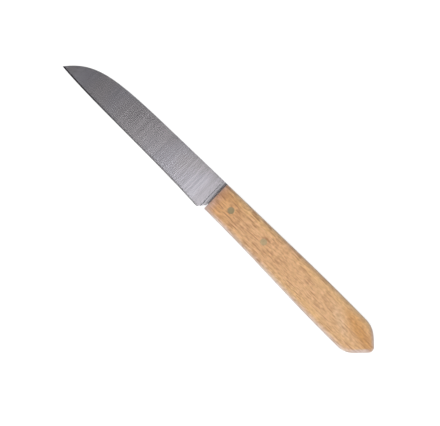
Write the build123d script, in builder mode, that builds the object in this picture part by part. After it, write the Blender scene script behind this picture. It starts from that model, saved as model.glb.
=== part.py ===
from build123d import *
from math import atan, cos, radians, sin, sqrt, tan
import os

# A paring knife with a short stamped blade. The blade's half tang sits in a saw slot in a
# one-piece beech handle, and two plain rivets hold it there.
# Millimetres. +X runs from the tip to the butt, +Y towards the back of the knife, and +Z up out
# of the side that it lies on. The origin is under the middle of the knife, on that side.

# Reach of the blade and of the handle, each from the handle's front end
blade_reach = 88.65
handle_length = 97.3

# Handle
handle_thickness = 9.5
handle_depth = 18.08
handle_front_depth = 14.95
edge_rounding = 2.2
front_rounding = 0.5
front_ease_length = 3.6
front_ease_depth = 0.35
back_fall = 0.8
back_facet_angle = 44.0
belly_facet_angle = 45.5
butt_point_depth = 8.8
butt_point_margin = 0.25
back_shoulder_radius = 12.0
belly_shoulder_radius = 10.5
back_straight_share = 0.52
belly_shares = ((0.40, 0.13), (0.62, 1.0))

# Blade
stock_thickness = 1.2
grind_step = 0.05
edge_thickness = 0.3
edge_land = 0.04
bevel_width = 0.7
spine_break = 0.12
tip_depth = 12.8
heel_depth = 16.5
heel_setback = 3.2
choil_setback = 0.4
choil_height = 1.1
choil_radius = 0.3
ground_past_heel = 1.0
plunge_angle = 45.0
spine_curve_length = 64.0
spine_shares = (0.163, 0.332)
edge_shares = ((0.215, 0.61), (0.668, 0.40))

# Rivets
rivet_depth = 7.3
front_rivet_setback = 9.25
rivet_spacing = 19.95
rivet_radius = 1.3
rivet_flare = 0.2
rivet_flare_length = 0.6
rivet_clearance = 0.03

# Tang, and the saw slot that takes it
tang_step = 2.8
tang_taper = 2.0
tang_beyond_rivets = 16.8
tang_corner_radius = 3.0
slot_clearance = 0.04
slot_end_gap = 1.5
saw_radius = 40.0

# How far every cutting shape runs past what it cuts
overrun = 5.0

# Places that several pieces share
front_x = (blade_reach - handle_length) / 2
back_y = handle_depth / 2
middle_z = handle_thickness / 2
middle_plane = Plane.XY.offset(middle_z)
rear_rivet_setback = front_rivet_setback + rivet_spacing
rivet_setbacks = {"front_rivet": front_rivet_setback, "rear_rivet": rear_rivet_setback}
tang_length = rear_rivet_setback + tang_beyond_rivets
tang_width = handle_front_depth - tang_step


def at(behind_front, below_back):
    """A place measured from the handle's front end and down from the line of the back."""
    return (front_x + behind_front, back_y - below_back)


def rivet_solid(setback, clearance):
    """One rivet, from side to side of the handle. With a clearance it is the rivet's hole."""
    x, y = at(setback, rivet_depth)
    shank = rivet_radius + clearance
    head = shank + rivet_flare
    with BuildPart() as rivet:
        with BuildSketch(Plane(origin=(x, y, 0), x_dir=(1, 0, 0), z_dir=(0, -1, 0))) as half_section:
            with BuildLine():
                Polyline(
                    (0, 0),
                    (head, 0),
                    (shank, rivet_flare_length),
                    (shank, handle_thickness - rivet_flare_length),
                    (head, handle_thickness),
                    (0, handle_thickness),
                    close=True,
                )
            make_face()
        revolve(axis=Axis((x, y, 0), (0, 0, 1)))
    return rivet.part


# Corners of the handle's side outline: its butt has two facets that meet in a rounded point
point_radius = edge_rounding + butt_point_margin
point_half_angle = radians((180 - back_facet_angle - belly_facet_angle) / 2)
apex_setback = handle_length - point_radius + point_radius / sin(point_half_angle)
back_facet_run = (butt_point_depth - back_fall) / tan(radians(back_facet_angle))
belly_facet_run = (handle_depth - butt_point_depth) / tan(radians(belly_facet_angle))
back_run = apex_setback - back_facet_run
belly_run = apex_setback - belly_facet_run
belly_rise = handle_depth - handle_front_depth

front_top = at(0, 0)
front_bottom = at(0, handle_front_depth)
back_bend = at(back_straight_share * back_run, 0)
back_corner = at(back_run, back_fall)
apex = at(apex_setback, butt_point_depth)
belly_corner = at(belly_run, handle_depth)
belly_handles = [
    at(along * belly_run, handle_front_depth + down * belly_rise) for along, down in belly_shares
]

# Seen from the back the handle is straight, and eased in a little at its front end
ease_x = front_x + front_ease_length
apex_x = front_x + apex_setback

# The slot ends in the arc of the saw
slot_end = tang_length + slot_end_gap
slot_half_width = stock_thickness / 2 + slot_clearance
slot_low = handle_depth + overrun
saw_half_chord = (slot_low + overrun) / 2
saw_corner = slot_end - saw_radius + sqrt(saw_radius**2 - saw_half_chord**2)
rivet_holes = [rivet_solid(setback, rivet_clearance) for setback in rivet_setbacks.values()]

with BuildPart() as handle:
    with BuildSketch() as side_outline:
        with BuildLine():
            Polyline(front_bottom, front_top, back_bend)
            TangentArc(back_bend, back_corner, tangent=(1, 0))
            Polyline(back_corner, apex, belly_corner)
            Bezier(front_bottom, *belly_handles, belly_corner)
        make_face()
    extrude(amount=handle_thickness)

    butt_corners = handle.edges().filter_by(Axis.Z).sort_by(Axis.X)[-3:].sort_by(Axis.Y)
    fillet(butt_corners[1], radius=point_radius)
    fillet(butt_corners[2], radius=back_shoulder_radius)
    fillet(butt_corners[0], radius=belly_shoulder_radius)

    with BuildSketch(Plane.XZ.offset(-back_y - overrun)) as plan_outline:
        with BuildLine():
            Line((front_x, front_ease_depth), (front_x, handle_thickness - front_ease_depth))
            TangentArc(
                (ease_x, handle_thickness), (front_x, handle_thickness - front_ease_depth), tangent=(-1, 0)
            )
            Polyline((ease_x, handle_thickness), (apex_x, handle_thickness), (apex_x, 0), (ease_x, 0))
            TangentArc((ease_x, 0), (front_x, front_ease_depth), tangent=(-1, 0))
        make_face()
    extrude(amount=slot_low + overrun, mode=Mode.INTERSECT)

    front_end = handle.faces().sort_by(Axis.X)[0]
    fillet(handle.edges().filter_by(Axis.Z, reverse=True) - front_end.edges(), radius=edge_rounding)
    fillet(handle.faces().sort_by(Axis.X)[0].edges(), radius=front_rounding)

    with BuildSketch(middle_plane) as slot:
        with BuildLine():
            Polyline(
                at(saw_corner, slot_low),
                at(-overrun, slot_low),
                at(-overrun, -overrun),
                at(saw_corner, -overrun),
            )
            ThreePointArc(
                at(saw_corner, -overrun), at(slot_end, handle_depth / 2), at(saw_corner, slot_low)
            )
        make_face()
    extrude(amount=slot_half_width, both=True, mode=Mode.SUBTRACT)

    for hole in rivet_holes:
        add(hole, mode=Mode.SUBTRACT)

handle.part.label = "handle"

# Corners of the blade's outline: behind the heel it slopes up, then leaves a narrow gap, the
# choil, before the handle
edge_run = blade_reach - heel_setback
edge_drop = heel_depth - tip_depth
tip = at(-blade_reach, tip_depth)
heel = at(-heel_setback, heel_depth)
choil_mouth = at(-choil_setback, tang_width + choil_height)
choil = at(-choil_setback, tang_width)
spine_end = at(spine_curve_length - blade_reach, 0)
spine_handles = [at(share * spine_curve_length - blade_reach, 0) for share in spine_shares]
edge_handles = [
    at(along * edge_run - blade_reach, tip_depth + down * edge_drop) for along, down in edge_shares
]

# The flat grind runs along the cutting edge and leans in from the spine to the edge
edge_slope = atan(edge_drop / edge_run)
grind_lean = atan(((stock_thickness - edge_thickness) / 2 - grind_step) / (heel_depth * cos(edge_slope)))
grind_plane = Plane(
    origin=(*heel, middle_z + edge_thickness / 2),
    x_dir=(cos(edge_slope), -sin(edge_slope), 0),
    z_dir=(-sin(grind_lean) * sin(edge_slope), -sin(grind_lean) * cos(edge_slope), cos(grind_lean)),
)
plunge = ground_past_heel * cos(edge_slope)
plunge_direction = (sin(radians(plunge_angle)), 0, cos(radians(plunge_angle)))
grind_far = -blade_reach - overrun
grind_top = heel_depth + overrun
bevel_depth = (edge_thickness - edge_land) / 2
above_blade = Vector(0, 0, middle_z + stock_thickness)

with BuildPart() as blade:
    with BuildSketch(middle_plane) as blank:
        with BuildLine():
            spine = Bezier(tip, *spine_handles, spine_end)
            Polyline(
                spine_end,
                at(tang_length, 0),
                at(tang_length, tang_width - tang_taper),
                choil,
                choil_mouth,
                heel,
            )
            cutting_edge = Bezier(tip, *edge_handles, heel)
        make_face()
    extrude(amount=stock_thickness / 2)

    corners = blade.edges().filter_by(Axis.Z)
    fillet(corners.group_by(Axis.X)[-1], radius=tang_corner_radius)
    fillet(corners.sort_by_distance((*choil, middle_z))[0], radius=choil_radius)

    with BuildSketch(grind_plane) as ground_area:
        with BuildLine():
            Polyline(
                (plunge + overrun * tan(edge_slope), -overrun),
                (plunge - grind_top * tan(edge_slope), grind_top),
                (grind_far, grind_top),
                (grind_far, -overrun),
                close=True,
            )
        make_face()
    extrude(amount=2 * stock_thickness, dir=plunge_direction, mode=Mode.SUBTRACT)

    ground_face = blade.faces().filter_by(grind_plane)[0]
    edge_rim = ground_face.edges().sort_by_distance(cutting_edge @ 0.5 + above_blade)[0]
    chamfer(edge_rim, length=bevel_width, length2=bevel_depth, reference=ground_face)

    ground_face = blade.faces().filter_by(grind_plane)[0]
    spine_rim = ground_face.edges().sort_by_distance(spine @ 0.5 + above_blade)[0]
    chamfer(spine_rim, length=spine_break)

    with Locations(*[at(setback, rivet_depth) for setback in rivet_setbacks.values()]):
        Hole(radius=rivet_radius + rivet_clearance, depth=handle_thickness)

    mirror(about=middle_plane)

blade.part.label = "blade"

os.makedirs("parts", exist_ok=True)
export_step(blade.part, "parts/blade.step")
export_step(handle.part, "parts/handle.step")
for name, setback in rivet_setbacks.items():
    rivet = rivet_solid(setback, 0)
    rivet.label = name
    export_step(rivet, f"parts/{name}.step")
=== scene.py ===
import math

import bmesh
import bpy
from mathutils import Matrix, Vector


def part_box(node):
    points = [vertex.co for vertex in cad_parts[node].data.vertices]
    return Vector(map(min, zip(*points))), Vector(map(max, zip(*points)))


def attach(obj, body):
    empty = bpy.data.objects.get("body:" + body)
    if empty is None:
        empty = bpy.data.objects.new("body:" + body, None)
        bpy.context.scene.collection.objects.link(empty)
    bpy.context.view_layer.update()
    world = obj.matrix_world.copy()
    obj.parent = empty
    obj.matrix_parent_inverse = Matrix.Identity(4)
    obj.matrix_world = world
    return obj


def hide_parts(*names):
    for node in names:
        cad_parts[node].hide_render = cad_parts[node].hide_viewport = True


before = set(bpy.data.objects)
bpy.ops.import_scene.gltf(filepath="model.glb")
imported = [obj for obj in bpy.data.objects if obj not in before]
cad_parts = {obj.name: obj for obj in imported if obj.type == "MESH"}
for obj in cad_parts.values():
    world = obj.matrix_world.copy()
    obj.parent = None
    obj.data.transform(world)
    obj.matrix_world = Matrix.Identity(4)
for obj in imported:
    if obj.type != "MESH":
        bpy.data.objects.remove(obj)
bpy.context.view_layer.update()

# Sizes are in metres, in the frame of the CAD model: +X runs from the tip to the butt, +Y to the
# back of the knife, and +Z up. Textures work in millimetres.
MM = 0.001

top_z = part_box("handle")[1].z
middle_z = top_z / 2
half_thickness = middle_z / MM

# Meshes: corners sharper than this stay crisp, and points closer than this are merged
crisp_angle = math.radians(28)
weld_distance = 0.001 * MM

# Wood colours, as seen under the studio light
middle_tan = (211, 163, 114)
front_straw = (207, 154, 98)
rear_beige = (209, 164, 115)
straw = (218, 176, 114)
warm_orange = (204, 154, 100)
pale_beige = (214, 180, 142)
patch_orange = (197, 143, 78)
greenish_beige = (212, 182, 144)
fleck_brown = (156, 104, 62)
back_brown_and_shade = (176, 136, 100)
end_brown = (172, 124, 96)
# A pale veil painted on the roundings: a painted sheen, not the wood's own colour
painted_sheen_rim = (212, 202, 202)
sawn_brown = (146, 106, 76)

# Steel colours
mill_steel = (204, 201, 209)
warm_steel = (206, 201, 205)
cut_steel = (104, 105, 108)
# Painted shade and a painted reflection of the handle's brown end, on the steel near it
painted_handle_shade_steel = (134, 122, 114)
unground_steel = (252, 249, 252)
# The bevel's painted reflection, dark at the tip and bright towards the heel
painted_bevel_dark = (60, 59, 64)
painted_bevel_bright = (252, 251, 252)

# Rivet colours
front_rivet_tan = (171, 155, 122)
rear_rivet_tan = (194, 170, 133)
filed_brown = (137, 124, 100)

# Noise lies mostly between these two values
noise_low = 0.3
noise_high = 0.7


def linear(colour):
    """A screen colour from 0 to 255 as the linear colour that a shader takes."""
    shares = [value / 255 for value in colour]
    return tuple(s / 12.92 if s <= 0.04045 else ((s + 0.055) / 1.055) ** 2.4 for s in shares) + (1.0,)


# Small helpers for node trees

def add(tree, kind, inputs=None, **settings):
    """Adds a node. Its inputs are set by name or number, to a value or to another node's output."""
    made = tree.nodes.new(kind)
    for name, value in settings.items():
        setattr(made, name, value)
    for name, value in (inputs or {}).items():
        if isinstance(value, bpy.types.NodeSocket):
            tree.links.new(value, made.inputs[name])
        else:
            made.inputs[name].default_value = value
    return made


def maths(tree, operation, *values, clamp=False):
    """A number worked out from one, two or three others."""
    inputs = dict(enumerate(values))
    return add(tree, "ShaderNodeMath", inputs, operation=operation, use_clamp=clamp).outputs[0]


def summed(tree, first, *others):
    """The sum of two or more numbers."""
    for other in others:
        first = maths(tree, "ADD", first, other)
    return first


def multiplied(tree, first, second):
    """The product of two numbers."""
    return maths(tree, "MULTIPLY", first, second)


def vector_maths(tree, operation, *values):
    """A place or direction worked out from two others."""
    return add(tree, "ShaderNodeVectorMath", dict(enumerate(values)), operation=operation).outputs[0]


def parts_of(tree, position):
    """The X, Y and Z of a place."""
    return add(tree, "ShaderNodeSeparateXYZ", {"Vector": position}).outputs


def blended(tree, share, first, second, blend_type="MIX"):
    """The first colour turning into the second as the share goes from 0 to 1."""
    inputs = {0: share, 6: first, 7: second}
    return add(tree, "ShaderNodeMix", inputs, data_type="RGBA", blend_type=blend_type).outputs[2]


def ramped(tree, value, low, high, to_low=0.0, to_high=1.0, smooth=True):
    """A value moved from one range to another, and held at its ends."""
    made = add(
        tree,
        "ShaderNodeMapRange",
        {"Value": value, "From Min": low, "From Max": high, "To Min": to_low, "To Max": to_high},
        interpolation_type="SMOOTHSTEP" if smooth else "LINEAR",
    )
    return made.outputs["Result"]


def spread(tree, value, to_low=0.0, to_high=1.0, smooth=True):
    """Noise moved from where it mostly lies to another range."""
    return ramped(tree, value, noise_low, noise_high, to_low, to_high, smooth)


def noise(tree, position, stretch, detail):
    """Soft clouds, smaller the more a direction is stretched."""
    stretched = vector_maths(tree, "MULTIPLY", position, stretch)
    inputs = {"Vector": stretched, "Scale": 1.0, "Detail": detail}
    return add(tree, "ShaderNodeTexNoise", inputs).outputs["Fac"]


def new_group(name, inputs, outputs):
    """An empty shader node group with named inputs and outputs, and its two end nodes."""
    group = bpy.data.node_groups.new(name, "ShaderNodeTree")
    for label, (kind, value) in inputs.items():
        socket = group.interface.new_socket(name=label, in_out="INPUT", socket_type="NodeSocket" + kind)
        if value is not None:
            socket.default_value = value
    for label, kind in outputs.items():
        group.interface.new_socket(name=label, in_out="OUTPUT", socket_type="NodeSocket" + kind)
    return group, group.nodes.new("NodeGroupInput").outputs, group.nodes.new("NodeGroupOutput").inputs


def place(tree, group, inputs):
    """Puts a node group into a material, with its values there."""
    return add(tree, "ShaderNodeGroup", inputs, node_tree=group).outputs


def new_material(name):
    """A material with its shader, its tree, and the place on the piece in millimetres."""
    material = bpy.data.materials.new(name)
    material.use_nodes = True
    tree = material.node_tree
    shader = tree.nodes["Principled BSDF"]
    place_on_piece = tree.nodes.new("ShaderNodeTexCoord").outputs["Object"]
    position = vector_maths(tree, "MULTIPLY", place_on_piece, (1 / MM,) * 3)
    return material, tree, shader, position


def bumped(tree, height, depth):
    """A normal raised by a height from 0 to 1, this deep."""
    return add(tree, "ShaderNodeBump", {"Height": height, "Distance": depth, "Strength": 1.0}).outputs[0]


# Texture groups

def make_ray_flecks():
    """The short dark spindles of beech: long along the grain, thin across it and deep."""
    group, given, made = new_group(
        "ray flecks",
        {
            "Position": ("Vector", None),
            "Length": ("Float", 5.0),
            "Width": ("Float", 1.2),
            "Depth": ("Float", 14.0),
            "Amount": ("Float", 0.3),
            "Softness": ("Float", 0.07),
        },
        {"Mask": "Float", "Shade": "Float"},
    )
    size = {"X": given["Length"], "Y": given["Width"], "Z": given["Depth"]}
    cell = add(group, "ShaderNodeCombineXYZ", size).outputs[0]
    scaled = vector_maths(group, "DIVIDE", given["Position"], cell)
    cells = add(group, "ShaderNodeTexVoronoi", {"Vector": scaled, "Scale": 1.0, "Randomness": 1.0})
    draw = add(group, "ShaderNodeSeparateColor", {"Color": cells.outputs["Color"]})
    reach = multiplied(group, draw.outputs["Red"], given["Amount"])
    short_of = maths(group, "SUBTRACT", reach, cells.outputs["Distance"])
    group.links.new(ramped(group, short_of, 0.0, given["Softness"]), made["Mask"])
    group.links.new(draw.outputs["Green"], made["Shade"])
    return group


def make_growth_rings():
    """Rings about a pith that lies below the handle, so that the wide faces are flat sawn."""
    group, given, made = new_group(
        "growth rings",
        {
            "Position": ("Vector", None),
            "Pith Depth": ("Float", 34.0),
            "Pith Aside": ("Float", 5.0),
            "Spacing": ("Float", 2.6),
            "Run Out": ("Float", 0.05),
            "Wander": ("Float", 1.6),
        },
        {"Late Wood": "Float"},
    )
    # Late wood darkens slowly from here to its darkest, and ends sharply
    late_start = 0.25
    late_peak = 0.93
    part = parts_of(group, given["Position"])
    aside = maths(group, "SUBTRACT", part["Y"], given["Pith Aside"])
    above = summed(group, part["Z"], given["Pith Depth"])
    squares = summed(group, maths(group, "POWER", aside, 2.0), maths(group, "POWER", above, 2.0))
    radius = maths(group, "SQRT", squares)
    run_out = multiplied(group, part["X"], given["Run Out"])
    waver = noise(group, given["Position"], (0.035, 0.16, 0.16), 1.0)
    reach = summed(group, radius, run_out, multiplied(group, waver, given["Wander"]))
    turn = maths(group, "FRACT", maths(group, "DIVIDE", reach, given["Spacing"]))
    rise = ramped(group, turn, late_start, late_peak)
    fall = ramped(group, turn, late_peak, 1.0, 1.0, 0.0)
    group.links.new(multiplied(group, rise, fall), made["Late Wood"])
    return group


def make_fibres():
    """Fine streaks along X, for wood, or along whatever the stretch says."""
    group, given, made = new_group(
        "fibres",
        {"Position": ("Vector", None), "Stretch": ("Vector", (0.16, 2.6, 2.6)), "Detail": ("Float", 3.0)},
        {"Value": "Float"},
    )
    streak = noise(group, given["Position"], given["Stretch"], given["Detail"])
    group.links.new(streak, made["Value"])
    return group


def make_soft_spot():
    """A long spot in the wood: 1 at its centre, and nothing beyond its uneven edge."""
    group, given, made = new_group(
        "soft spot",
        {
            "Position": ("Vector", None),
            "Centre": ("Vector", (0, 0, 0)),
            "Turn": ("Vector", (0, 0, 0)),
            "Reach": ("Vector", (10, 3, 10)),
            "Unevenness": ("Float", 0.8),
            "Full Share": ("Float", 0.2),
        },
        {"Mask": "Float"},
    )
    placing = {
        "Vector": given["Position"],
        "Location": given["Centre"],
        "Rotation": given["Turn"],
        "Scale": given["Reach"],
    }
    from_centre = add(group, "ShaderNodeMapping", placing, vector_type="TEXTURE").outputs[0]
    distance = add(group, "ShaderNodeVectorMath", {0: from_centre}, operation="LENGTH").outputs["Value"]
    wavy = noise(group, given["Position"], (0.10, 0.5, 0.2), 2.0)
    wobble = multiplied(group, maths(group, "SUBTRACT", wavy, 0.5), given["Unevenness"])
    mask = ramped(group, summed(group, distance, wobble), given["Full Share"], 1.0, 1.0, 0.0)
    group.links.new(mask, made["Mask"])
    return group


ray_flecks = make_ray_flecks()
growth_rings = make_growth_rings()
fibres = make_fibres()
soft_spot = make_soft_spot()


# Materials

# A change is two places in millimetres, or two values of a noise, and how strong it is at each.
# Those of the wood's colour: along the handle, then away from a line a little above its middle,
# with the noise that breaks it up, and then at its back, where a darker band of wood is also painted
# shade of the back's rounding, and at its front end
front_to_middle = (-2.0, 15.0, 0.0, 1.0)
middle_to_rear = (18.0, 85.0, 0.0, 1.0)
plain_line = 0.5
straw_edges = (2.5, 8.5, 0.0, 1.0)
straw_zones = (0.32, 0.55, 0.0, 0.85)
back_band_and_shade = (6.3, 8.0, 0.0, 0.15)
brown_front_end = (-3.6, 1.0, 0.85, 0.0)
front_end_waver = 1.6
late_wood_strength = 0.12
streak_strength = 0.12

# Two spots near the butt, in millimetres and radians
pale_spot = {"Centre": (73.0, 0.0, 9.5), "Turn": (0, 0, -0.44), "Reach": (12.0, 2.6, 9.0)}
warm_spot = {"Centre": (83.2, 2.4, 9.5), "Turn": (0, 0, -0.34), "Reach": (15.5, 5.0, 9.0)}
spots = ((pale_spot, 0.35, greenish_beige), (warm_spot, 0.95, patch_orange))


def wood_colour(tree, position, streaks):
    """Slow changes of colour: straw in front, paler behind, with rings and a warm patch at the butt."""
    part = parts_of(tree, position)
    past_front = ramped(tree, part["X"], *front_to_middle)
    past_middle = ramped(tree, part["X"], *middle_to_rear)
    colour = blended(tree, past_front, linear(front_straw), linear(middle_tan))
    colour = blended(tree, past_middle, colour, linear(rear_beige))

    zones = noise(tree, position, (0.04, 0.15, 0.12), 1.5)
    from_line = maths(tree, "ABSOLUTE", maths(tree, "SUBTRACT", part["Y"], plain_line))
    near_edge = ramped(tree, from_line, *straw_edges)
    straw_share = multiplied(tree, near_edge, ramped(tree, zones, *straw_zones))
    colour = blended(tree, straw_share, colour, linear(straw))

    late_wood = place(tree, growth_rings, {"Position": position})["Late Wood"]
    colour = blended(tree, multiplied(tree, late_wood, late_wood_strength), colour, linear(warm_orange))
    colour = blended(tree, spread(tree, streaks, 0.0, streak_strength), colour, linear(pale_beige))
    for spot, strength, tone in spots:
        mask = place(tree, soft_spot, {"Position": position, **spot})["Mask"]
        colour = blended(tree, multiplied(tree, mask, strength), colour, linear(tone))

    # A darker band of wood along the back, deepened as painted shade of the rounding turned from the light
    colour = blended(tree, ramped(tree, part["Y"], *back_band_and_shade), colour, linear(back_brown_and_shade))
    into_front = summed(tree, part["X"], multiplied(tree, streaks, front_end_waver))
    end_share = ramped(tree, into_front, *brown_front_end, smooth=False)
    return blended(tree, end_share, colour, linear(end_brown))


# Changes of the painted sheen, a pale veil put in the colour for light glancing off the roundings:
# up from the middle of the thickness, from belly to back, along the handle to the butt, on each of
# its two facets and over their rims, and at the front end
up_the_rounding = (1.8, 3.4, 0.3, 1.0)
belly_to_back = (-3.0, 4.0, 0.56, 0.12)
at_butt_facets = (83.0, 87.0, 0.0, 1.0)
on_belly_facet = (1.0, -1.5, 0.0, 1.0)
belly_facet_rim = (4.74, 4.62, 0.0, 0.58)
belly_facet_height = (2.2, 3.8, 0.4, 1.0)
on_back_facet = (0.5, 2.5, 0.0, 1.0)
back_facet_rim = (4.74, 4.3, 0.0, 0.3)
painted_sheen_front_end = (-4.3, -2.6, 0.2, 0.0)


def painted_sheen_share(tree, position):
    """How much painted sheen pales the wood: at its roundings, most along the belly, which faces the light,
    and at the butt.
    """
    part = parts_of(tree, position)
    height = maths(tree, "ABSOLUTE", maths(tree, "SUBTRACT", part["Z"], half_thickness))
    below_side = maths(tree, "SUBTRACT", half_thickness, height, clamp=True)
    rounded = multiplied(tree, maths(tree, "POWER", below_side, 0.5), ramped(tree, height, *up_the_rounding))
    share = multiplied(tree, rounded, ramped(tree, part["Y"], *belly_to_back))

    at_butt = ramped(tree, part["X"], *at_butt_facets)
    belly_facet = multiplied(tree, at_butt, ramped(tree, part["Y"], *on_belly_facet))
    rim = multiplied(tree, ramped(tree, height, *belly_facet_rim), ramped(tree, height, *belly_facet_height))
    share = maths(tree, "MAXIMUM", share, multiplied(tree, belly_facet, rim))

    back_facet = multiplied(tree, at_butt, ramped(tree, part["Y"], *on_back_facet))
    rim = ramped(tree, height, *back_facet_rim)
    share = maths(tree, "MAXIMUM", share, multiplied(tree, back_facet, rim))
    return maths(tree, "MAXIMUM", share, ramped(tree, part["X"], *painted_sheen_front_end), clamp=True)


# The flecks' three sizes in millimetres, how far each set is moved aside, and the palest and the
# darkest fleck of each
fleck_amount = 0.62
fleck_sizes = (
    {"size": (5.2, 0.4, 2.2), "aside": (0.0, 0.0, 0.0), "palest": 0.15, "darkest": 1.0},
    {"size": (3.0, 0.35, 1.6), "aside": (31.0, 17.0, 5.0), "palest": 0.15, "darkest": 0.9},
    {"size": (1.8, 0.32, 1.1), "aside": (7.0, 43.0, 11.0), "palest": 0.5, "darkest": 0.5},
)


def wood_flecks(tree, grain):
    """Ray flecks of all three sizes: where they lie, the darkest wins."""
    flecks = 0.0
    for kind in fleck_sizes:
        length, width, depth = kind["size"]
        moved = vector_maths(tree, "ADD", grain, kind["aside"])
        shape = {"Position": moved, "Length": length, "Width": width, "Depth": depth, "Amount": fleck_amount}
        made = place(tree, ray_flecks, shape)
        strength = ramped(tree, made["Shade"], 0.0, 1.0, kind["palest"], kind["darkest"])
        flecks = maths(tree, "MAXIMUM", flecks, multiplied(tree, made["Mask"], strength))
    return flecks


# The grain's stretch along, across and into the wood, and how much it bends
grain_bend = 0.3
streak_stretch = (0.09, 1.5, 1.2)
pore_stretch = (0.6, 1.9, 2.0)
line_stretch = (0.09, 2.2, 0.5)

# How dark the marks are, and how they fade along the handle. A dark mark turns towards brown: it
# loses green and blue by these powers
line_strength = 0.15
lines_fade = (10.0, 50.0, 1.0, 0.35)
pore_tones = (0.90, 1.24)
flecks_fade = (5.0, 60.0, 1.0, 0.72)
green_power = 1.2
blue_power = 1.9

pore_gloss = (0.2, 0.8, 0.42, 0.54)
pore_depth = 0.03 * MM


def make_beech():
    """Sanded beech, with fine marks along the grain that are stronger towards the front."""
    material, tree, shader, position = new_material("sanded_beech")
    part = parts_of(tree, position)
    bend = noise(tree, position, (0.11, 0.22, 0.1), 1.0)
    aside = add(tree, "ShaderNodeCombineXYZ", {"Y": multiplied(tree, bend, grain_bend)}).outputs[0]
    grain = vector_maths(tree, "ADD", position, aside)
    streaks = place(tree, fibres, {"Position": grain, "Stretch": streak_stretch})["Value"]
    pores = place(tree, fibres, {"Position": grain, "Stretch": pore_stretch})["Value"]
    lines = place(tree, fibres, {"Position": grain, "Stretch": line_stretch})["Value"]
    flecks = wood_flecks(tree, grain)

    colour = wood_colour(tree, position, streaks)
    # Painted sheen: the roundings pale towards white, most on the belly side, which faces the light
    colour = blended(tree, painted_sheen_share(tree, position), colour, linear(painted_sheen_rim))

    line_tones = spread(tree, lines, -line_strength, line_strength, smooth=False)
    long_marks = multiplied(tree, line_tones, ramped(tree, part["X"], *lines_fade))
    shade = summed(tree, long_marks, spread(tree, pores, *pore_tones, smooth=False))
    green = maths(tree, "POWER", shade, green_power)
    blue = maths(tree, "POWER", shade, blue_power)
    tint = add(tree, "ShaderNodeCombineColor", {"Red": shade, "Green": green, "Blue": blue}).outputs[0]
    colour = blended(tree, 1.0, colour, tint, "MULTIPLY")
    fleck_share = multiplied(tree, flecks, ramped(tree, part["X"], *flecks_fade))
    colour = blended(tree, fleck_share, colour, linear(fleck_brown))
    tree.links.new(colour, shader.inputs["Base Color"])

    tree.links.new(ramped(tree, pores, *pore_gloss), shader.inputs["Roughness"])
    shader.inputs["Sheen Weight"].default_value = 1.0
    height = maths(tree, "SUBTRACT", multiplied(tree, pores, 0.5), multiplied(tree, flecks, 0.5))
    tree.links.new(bumped(tree, height, pore_depth), shader.inputs["Normal"])
    return material


def make_sawn_beech():
    """The walls of the saw slot: darker, and crossed by the saw's teeth marks."""
    material, tree, shader, position = new_material("sawn_beech")
    grain = place(tree, fibres, {"Position": position, "Stretch": (0.5, 3.0, 3.0)})["Value"]
    waves = {"Vector": position, "Scale": 0.35, "Distortion": 2.0, "Detail": 2.0}
    teeth = add(tree, "ShaderNodeTexWave", waves).outputs["Fac"]
    colour = blended(tree, spread(tree, grain), linear(sawn_brown), linear(warm_orange))
    colour = blended(tree, multiplied(tree, teeth, 0.35), colour, linear(end_brown))
    tree.links.new(colour, shader.inputs["Base Color"])
    tree.links.new(ramped(tree, grain, 0.2, 0.8, 0.7, 0.85), shader.inputs["Roughness"])
    tree.links.new(bumped(tree, teeth, 0.05 * MM), shader.inputs["Normal"])
    return material


# The steel's strokes, fine and broad: their stretch along, across and into the blade, and how far
# they change its tone
stroke_stretch = (2.6, 0.12, 0.28)
stroke_tone = 0.04
band_stretch = (1.3, 0.004, 0.004)
band_tone = 0.05
bands_aside = (0.0, 120.0, 130.0)

# Painted shade and light in the steel's colour: darker towards the tip, and lighter towards the edge and
# towards the spine, for the reflection's changes along and across the blade
painted_shade_to_tip = (-72.0, -50.0, 0.935, 1.025)
painted_light_to_edge = (-7.0, 2.0, 0.05, 0.0)
painted_light_to_spine = (4.0, 9.0, 0.0, 0.06)
past_grind = (-6.75, -6.4, 0.0, 0.35)
# Painted shade towards the handle: darker before the heel, less so past the grind, darkest at the handle
shaded_before_heel = (-12.6, -10.2, 0.0, 0.2)
less_shaded_past_grind = (-6.75, -6.4, 0.0, -0.2)
painted_shade_at_handle = (-5.7, -5.0, 0.0, 0.3)

steel_gloss = (0.231, 0.239)
steel_anisotropy = 0.75
stroke_depth = 0.00004 * MM


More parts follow.
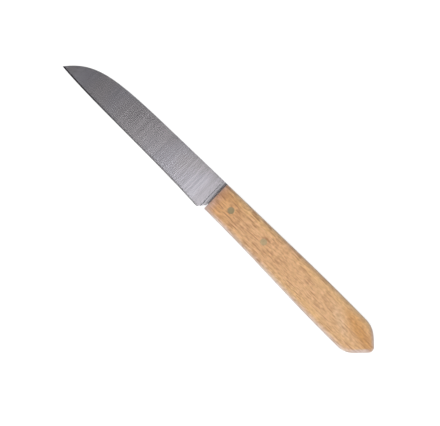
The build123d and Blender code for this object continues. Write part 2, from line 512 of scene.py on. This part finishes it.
def make_brushed_steel():
    """Stainless sheet, brushed across the blade."""
    material, tree, shader, position = new_material("brushed_steel")
    part = parts_of(tree, position)
    fine = {"Position": position, "Stretch": stroke_stretch, "Detail": 2.0}
    strokes = place(tree, fibres, fine)["Value"]
    moved = vector_maths(tree, "ADD", position, bands_aside)
    broad = {"Position": moved, "Stretch": band_stretch, "Detail": 2.0}
    bands = place(tree, fibres, broad)["Value"]
    cloud = noise(tree, position, (0.05, 0.04, 0.04), 1.0)
    colour = blended(tree, ramped(tree, cloud, 0.4, 0.6), linear(mill_steel), linear(warm_steel))

    # The shade holds the strokes and bands, and painted shade and light along and across the blade
    shade = summed(
        tree,
        spread(tree, strokes, -stroke_tone, stroke_tone),
        spread(tree, bands, -band_tone, band_tone),
        ramped(tree, part["X"], *painted_shade_to_tip),
        ramped(tree, part["Y"], *painted_light_to_edge),
        ramped(tree, part["Y"], *painted_light_to_spine),
    )
    grey = add(tree, "ShaderNodeCombineColor", {"Red": shade, "Green": shade, "Blue": shade}).outputs[0]
    colour = blended(tree, 1.0, colour, grey, "MULTIPLY")

    # The strip before the handle isn't ground: it is paler. Towards the handle the steel is darkened
    # with painted shade, and browned as a painted reflection of the handle's end
    unground = ramped(tree, part["X"], *past_grind, smooth=False)
    colour = blended(tree, unground, colour, linear(unground_steel))
    handle_shade = summed(
        tree,
        ramped(tree, part["X"], *shaded_before_heel),
        ramped(tree, part["X"], *less_shaded_past_grind),
        ramped(tree, part["X"], *painted_shade_at_handle),
    )
    colour = blended(tree, handle_shade, colour, linear(painted_handle_shade_steel))
    tree.links.new(colour, shader.inputs["Base Color"])

    shader.inputs["Metallic"].default_value = 1.0
    tree.links.new(spread(tree, strokes, *steel_gloss), shader.inputs["Roughness"])
    shader.inputs["Anisotropic"].default_value = steel_anisotropy
    tangent = add(tree, "ShaderNodeTangent", direction_type="UV_MAP", uv_map="brushing")
    tree.links.new(tangent.outputs[0], shader.inputs["Tangent"])
    tree.links.new(bumped(tree, strokes, stroke_depth), shader.inputs["Normal"])
    return material


def make_cut_steel():
    """The stamped outline of the blade: the spine, the heel and the tang's edges."""
    material, tree, shader, position = new_material("cut_steel")
    strokes = place(tree, fibres, {"Position": position, "Stretch": (3.0, 3.0, 0.4)})["Value"]
    colour = blended(tree, spread(tree, strokes), linear(cut_steel), linear(mill_steel))
    tree.links.new(blended(tree, 0.25, linear(cut_steel), colour), shader.inputs["Base Color"])
    shader.inputs["Metallic"].default_value = 1.0
    tree.links.new(spread(tree, strokes, 0.38, 0.5), shader.inputs["Roughness"])
    return material


# Changes of the bevel: its painted reflection, dark at the tip and bright towards the heel, along the edge,
# and away from the edge
painted_bevel_dark_to_bright = (-85.0, -38.0, 0.0, 1.0)
across_bevel = (0.07, 0.13, 0.0, 0.5)


def make_honed_steel():
    """The cutting edge's bevel, finer than the face beside it, with a painted reflection: dark towards the
    tip and bright towards the heel.
    """
    material, tree, shader, position = new_material("honed_steel")
    part = parts_of(tree, position)
    strokes = place(tree, fibres, {"Position": position, "Stretch": (7.0, 0.6, 0.6)})["Value"]
    along = ramped(tree, part["X"], *painted_bevel_dark_to_bright)
    tone = blended(tree, along, linear(painted_bevel_dark), linear(painted_bevel_bright))
    from_edge = maths(tree, "ABSOLUTE", maths(tree, "SUBTRACT", part["Z"], half_thickness))
    tone = blended(tree, ramped(tree, from_edge, *across_bevel), tone, linear(mill_steel))
    colour = blended(tree, spread(tree, strokes, 0.0, 0.16), tone, linear(cut_steel))
    tree.links.new(colour, shader.inputs["Base Color"])
    shader.inputs["Metallic"].default_value = 1.0
    tree.links.new(spread(tree, strokes, 0.14, 0.24), shader.inputs["Roughness"])
    return material


# From the front rivet to the rear one
between_rivets = (10.0, 18.0, 0.0, 1.0)


def make_rivet_metal():
    """Soft rivet metal, filed flush with the wood, and paler in the rear rivet."""
    material, tree, shader, position = new_material("filed_rivet_metal")
    part = parts_of(tree, position)
    strokes = place(tree, fibres, {"Position": position, "Stretch": (0.8, 6.0, 6.0)})["Value"]
    rear = ramped(tree, part["X"], *between_rivets)
    colour = blended(tree, rear, linear(front_rivet_tan), linear(rear_rivet_tan))
    colour = blended(tree, spread(tree, strokes, 0.0, 0.4), colour, linear(filed_brown))
    tree.links.new(colour, shader.inputs["Base Color"])
    shader.inputs["Metallic"].default_value = 1.0
    tree.links.new(spread(tree, strokes, 0.42, 0.6), shader.inputs["Roughness"])
    tree.links.new(bumped(tree, strokes, 0.01 * MM), shader.inputs["Normal"])
    return material


beech = make_beech()
sawn_beech = make_sawn_beech()
brushed_steel = make_brushed_steel()
cut_edge_steel = make_cut_steel()
honed_steel = make_honed_steel()
rivet_metal = make_rivet_metal()


# Pieces

def welded_copy(node):
    """A merged copy of a CAD node's mesh, to work on."""
    copy = bmesh.new()
    copy.from_mesh(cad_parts[node].data)
    bmesh.ops.remove_doubles(copy, verts=copy.verts, dist=weld_distance)
    return copy


def finished(name, shape, materials):
    """Makes a piece of a worked shape, smooth but for its crisp corners."""
    for face in shape.faces:
        face.smooth = True
    for edge in shape.edges:
        edge.smooth = len(edge.link_faces) != 2 or edge.calc_face_angle() < crisp_angle
    mesh = bpy.data.meshes.new(name)
    shape.to_mesh(mesh)
    shape.free()
    for material in materials:
        mesh.materials.append(material)
    piece = bpy.data.objects.new(name, mesh)
    bpy.context.scene.collection.objects.link(piece)
    return piece


# The blade's faces are told apart by how far they face up or down: its flats almost fully, the
# bevels nearly, and its outline hardly at all. The brushing repeats itself after each tile
flat_least = 0.995
bevel_least = 0.9
brushing_tile = 10 * MM


def make_blade():
    """The blade, with its faces brushed across, its edge honed and its outline as stamped."""
    shape = welded_copy("blade")
    shape.normal_update()
    brushing = shape.loops.layers.uv.new("brushing")
    for face in shape.faces:
        level = abs(face.normal.z)
        if level > flat_least:
            face.material_index = 0
        elif level > bevel_least:
            face.material_index = 1
        else:
            face.material_index = 2
        for loop in face.loops:
            loop[brushing].uv = (loop.vert.co.x / brushing_tile, loop.vert.co.y / brushing_tile)
    return finished("finished_blade", shape, [brushed_steel, honed_steel, cut_edge_steel])


# The saw slot in the handle, how far its rims are sanded off, and how exactly its walls are found
slot_half_width = 0.64 * MM
slot_rim_break = 0.15 * MM
slot_tolerance = 0.01 * MM


def make_handle():
    """The handle, with bare sawn walls in its slot, whose rims are sanded off."""
    shape = welded_copy("handle")
    shape.normal_update()
    reach = slot_half_width + slot_tolerance
    for face in shape.faces:
        face.material_index = int(all(abs(vert.co.z - middle_z) < reach for vert in face.verts))
    rims = []
    for edge in shape.edges:
        walls = sum(face.material_index for face in edge.link_faces)
        off_wall = [abs(abs(vert.co.z - middle_z) - slot_half_width) for vert in edge.verts]
        along_slot = max(off_wall) < slot_tolerance
        if walls == 1 and along_slot and edge.calc_face_angle() > crisp_angle:
            rims.append(edge)
    easing = {"offset": slot_rim_break, "segments": 2, "profile": 0.5}
    bmesh.ops.bevel(shape, geom=rims, affect="EDGES", material=0, **easing)
    return finished("finished_handle", shape, [beech, sawn_beech])


# The rivets' sizes, as the CAD solids have them, with their rims eased
rivet_radius = 1.3 * MM
rivet_head_radius = 1.5 * MM
rivet_flare = 0.6 * MM
rivet_rim_break = 0.06 * MM
rivet_sides = 64
rivet_weld = 0.002 * MM


def rivet_wall(tree, low_radius, high_radius, low, high):
    """A wall between two radii and two heights."""
    size = {
        "Vertices": rivet_sides,
        "Radius Bottom": low_radius,
        "Radius Top": high_radius,
        "Depth": maths(tree, "SUBTRACT", high, low),
    }
    cone = add(tree, "GeometryNodeMeshCone", size, fill_type="NONE").outputs["Mesh"]
    foot = add(tree, "ShaderNodeCombineXYZ", {"Z": low}).outputs[0]
    return add(tree, "GeometryNodeTransform", {"Geometry": cone, "Translation": foot}).outputs[0]


def rivet_end(tree, radius, height, turned):
    """A flat end, filed flush."""
    size = {"Vertices": rivet_sides, "Radius": radius}
    disc = add(tree, "GeometryNodeMeshCircle", size, fill_type="NGON").outputs[0]
    up = add(tree, "ShaderNodeCombineXYZ", {"Z": height}).outputs[0]
    moved = add(tree, "GeometryNodeTransform", {"Geometry": disc, "Translation": up}).outputs[0]
    return add(tree, "GeometryNodeFlipFaces", {"Mesh": moved}).outputs[0] if turned else moved


def make_rivet_tree():
    """A tree of nodes that sets one rivet on each point: a shank, flared at both of its ends."""
    tree = bpy.data.node_groups.new("flush rivets", "GeometryNodeTree")
    tree.interface.new_socket(name="Geometry", in_out="INPUT", socket_type="NodeSocketGeometry")
    sizes = {
        "Shank Radius": rivet_radius,
        "Head Radius": rivet_head_radius,
        "Flare": rivet_flare,
        "Length": top_z,
        "Rim Break": rivet_rim_break,
    }
    for label, value in sizes.items():
        socket = tree.interface.new_socket(name=label, in_out="INPUT", socket_type="NodeSocketFloat")
        socket.default_value = value
    metal = tree.interface.new_socket(name="Metal", in_out="INPUT", socket_type="NodeSocketMaterial")
    metal.default_value = rivet_metal
    tree.interface.new_socket(name="Geometry", in_out="OUTPUT", socket_type="NodeSocketGeometry")
    given = tree.nodes.new("NodeGroupInput").outputs
    made = tree.nodes.new("NodeGroupOutput").inputs

    # Radii and heights from the lower end to the upper one
    shank = given["Shank Radius"]
    head = given["Head Radius"]
    flat = maths(tree, "SUBTRACT", head, given["Rim Break"])
    low_rim = given["Rim Break"]
    low_flare = given["Flare"]
    high_flare = maths(tree, "SUBTRACT", given["Length"], low_flare)
    high_rim = maths(tree, "SUBTRACT", given["Length"], low_rim)
    walls = [
        rivet_end(tree, flat, 0.0, True),
        rivet_wall(tree, flat, head, 0.0, low_rim),
        rivet_wall(tree, head, shank, low_rim, low_flare),
        rivet_wall(tree, shank, shank, low_flare, high_flare),
        rivet_wall(tree, shank, head, high_flare, high_rim),
        rivet_wall(tree, head, flat, high_rim, given["Length"]),
        rivet_end(tree, flat, given["Length"], False),
    ]
    joined = tree.nodes.new("GeometryNodeJoinGeometry")
    for wall in walls:
        tree.links.new(wall, joined.inputs[0])
    merging = {"Geometry": joined.outputs[0], "Distance": rivet_weld}
    closed = add(tree, "GeometryNodeMergeByDistance", merging).outputs[0]
    setting = {"Points": given["Geometry"], "Instance": closed}
    set_on = add(tree, "GeometryNodeInstanceOnPoints", setting).outputs[0]
    real = add(tree, "GeometryNodeRealizeInstances", {"Geometry": set_on}).outputs[0]
    coated = add(tree, "GeometryNodeSetMaterial", {"Geometry": real, "Material": given["Metal"]}).outputs[0]
    tree.links.new(coated, made["Geometry"])
    return tree


def make_rivets():
    """Both rivets, as one mesh."""
    points = []
    for name in ("front_rivet", "rear_rivet"):
        low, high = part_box(name)
        points.append(((low.x + high.x) / 2, (low.y + high.y) / 2, low.z))
    stand = bpy.data.meshes.new("rivet_places")
    stand.from_pydata(points, [], [])
    holder = bpy.data.objects.new("rivet_places", stand)
    bpy.context.scene.collection.objects.link(holder)
    holder.modifiers.new("rivets", "NODES").node_group = make_rivet_tree()
    evaluated = holder.evaluated_get(bpy.context.evaluated_depsgraph_get())
    set_rivets = bpy.data.meshes.new_from_object(evaluated)
    shape = bmesh.new()
    shape.from_mesh(set_rivets)
    bpy.data.meshes.remove(set_rivets)
    bpy.data.objects.remove(holder)
    return finished("finished_rivets", shape, [rivet_metal])


blade = make_blade()
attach(blade, "root")
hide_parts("blade")

handle = make_handle()
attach(handle, "root")
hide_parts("handle")

rivets = make_rivets()
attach(rivets, "root")
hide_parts("front_rivet", "rear_rivet")


# The studio

# The photograph's width in pixels, the length of a pixel on the knife, and how the knife lies in it
photo_width = 440
photo_scale = 0.4422 * MM
knife_turn = math.radians(43.8)
view_centre = Vector((2.18 * MM, -2.4 * MM, middle_z))
camera_distance = 1.2
nearest_seen = 0.05
farthest_seen = 50.0
sensor_width = 36.0


def make_camera():
    """Straight above the knife, turned so that the knife lies in the frame as photographed."""
    data = bpy.data.cameras.new("camera")
    data.sensor_width = sensor_width
    data.lens = sensor_width * camera_distance / (photo_width * photo_scale)
    data.clip_start = nearest_seen
    data.clip_end = farthest_seen
    camera = bpy.data.objects.new("camera", data)
    camera.location = view_centre + Vector((0, 0, camera_distance))
    camera.rotation_euler = (0, 0, knife_turn)
    bpy.context.scene.collection.objects.link(camera)
    bpy.context.scene.camera = camera


def make_softbox(name, direction, brightness, distance, width, height, aim=(0, 0, 0), mirrored=True):
    """A square studio lamp that looks at the knife, as bright as that many times a white sheet."""
    data = bpy.data.lights.new(name, "AREA")
    data.shape = "RECTANGLE"
    data.size = width
    data.size_y = height
    data.energy = brightness * math.pi * width * height
    lamp = bpy.data.objects.new(name, data)
    direction = Vector(direction).normalized()
    lamp.location = Vector(aim) + direction * distance
    lamp.rotation_euler = direction.to_track_quat("Z", "Y").to_euler()
    lamp.visible_camera = False
    lamp.visible_glossy = mirrored
    bpy.context.scene.collection.objects.link(lamp)


# The floor lies a little under the knife. It glows for the camera and in metal, and so looks white
floor_reach = 12.0
floor_drop = 0.05 * MM
floor_grey = (0.3, 0.3, 0.3, 1)
floor_glow = 0.85


def make_floor():
    """A wide sheet, white to the camera and in reflections, that takes a shadow. It is clear from below."""
    mesh = bpy.data.meshes.new("floor")
    turns = ((-1, -1), (1, -1), (1, 1), (-1, 1))
    corners = [(x * floor_reach, y * floor_reach, -floor_drop) for x, y in turns]
    mesh.from_pydata(corners, [], [(0, 1, 2, 3)])
    floor = bpy.data.objects.new("floor", mesh)
    bpy.context.scene.collection.objects.link(floor)
    material = bpy.data.materials.new("white_sheet")
    material.use_nodes = True
    tree = material.node_tree
    tree.nodes.clear()
    plain = add(tree, "ShaderNodeBsdfDiffuse", {"Color": floor_grey})
    glow = add(tree, "ShaderNodeEmission", {"Color": (1, 1, 1, 1), "Strength": floor_glow})
    lit = add(tree, "ShaderNodeAddShader", {0: plain.outputs[0], 1: glow.outputs[0]})
    path = tree.nodes.new("ShaderNodeLightPath").outputs
    seen = maths(tree, "ADD", path["Is Camera Ray"], path["Is Glossy Ray"], clamp=True)
    seen = maths(tree, "ADD", seen, path["Is Transmission Ray"], clamp=True)
    both = add(tree, "ShaderNodeMixShader", {0: seen, 1: plain.outputs[0], 2: lit.outputs[0]})
    from_below = tree.nodes.new("ShaderNodeNewGeometry").outputs["Backfacing"]
    clear = add(tree, "ShaderNodeBsdfTransparent", {"Color": (1, 1, 1, 1)})
    sheet = add(tree, "ShaderNodeMixShader", {0: from_below, 1: both.outputs[0], 2: clear.outputs[0]})
    add(tree, "ShaderNodeOutputMaterial", {"Surface": sheet.outputs[0]})
    mesh.materials.append(material)


# The room overhead, and the surround near the horizon: dim as a light, and pale in metal
room_grey = (0.170, 0.170, 0.172, 1)
surround_light = (0.10, 0.10, 0.10, 1)
surround_in_metal = (0.8, 0.8, 0.8, 1)
surround_to_room = (0.40, 0.95)


def make_world():
    """A dim room, with the white surround of the photograph's table in reflections near the horizon."""
    world = bpy.data.worlds.new("studio")
    world.use_nodes = True
    bpy.context.scene.world = world
    tree = world.node_tree
    direction = parts_of(tree, tree.nodes.new("ShaderNodeTexCoord").outputs["Generated"])
    height = ramped(tree, direction["Z"], *surround_to_room)
    path = tree.nodes.new("ShaderNodeLightPath").outputs
    horizon = blended(tree, path["Is Glossy Ray"], surround_light, surround_in_metal)
    colour = blended(tree, height, horizon, room_grey)
    tree.links.new(colour, tree.nodes["Background"].inputs["Color"])


make_camera()
make_floor()
make_world()

# A small lamp near the steel gives the blade its change of tone from tip to heel
overhead_size = {"distance": 0.3, "width": 0.142, "height": 0.192}
make_softbox("overhead", (0, 0, 1), 3.3, **overhead_size, aim=(0.0890, -0.0985, 0))

# Two large lamps. Each has a dim sheet that shows in the steel and a bright one that doesn't, so
# that the blade keeps its tone from every side
large_size = {"distance": 0.9, "width": 0.5, "height": 0.4}
large_lamps = {
    "key": {"direction": (0.3, -0.75, 0.58), "in_metal": 1.3, "as_light": 6.1},
    "fill": {"direction": (0.25, 0.3, 0.9), "in_metal": 1.7, "as_light": 4.3},
}
for name, lamp in large_lamps.items():
    make_softbox(name + "_sheen", lamp["direction"], lamp["in_metal"], **large_size)
    make_softbox(name + "_light", lamp["direction"], lamp["as_light"], **large_size, mirrored=False)

bpy.context.scene.view_settings.view_transform = "Standard"
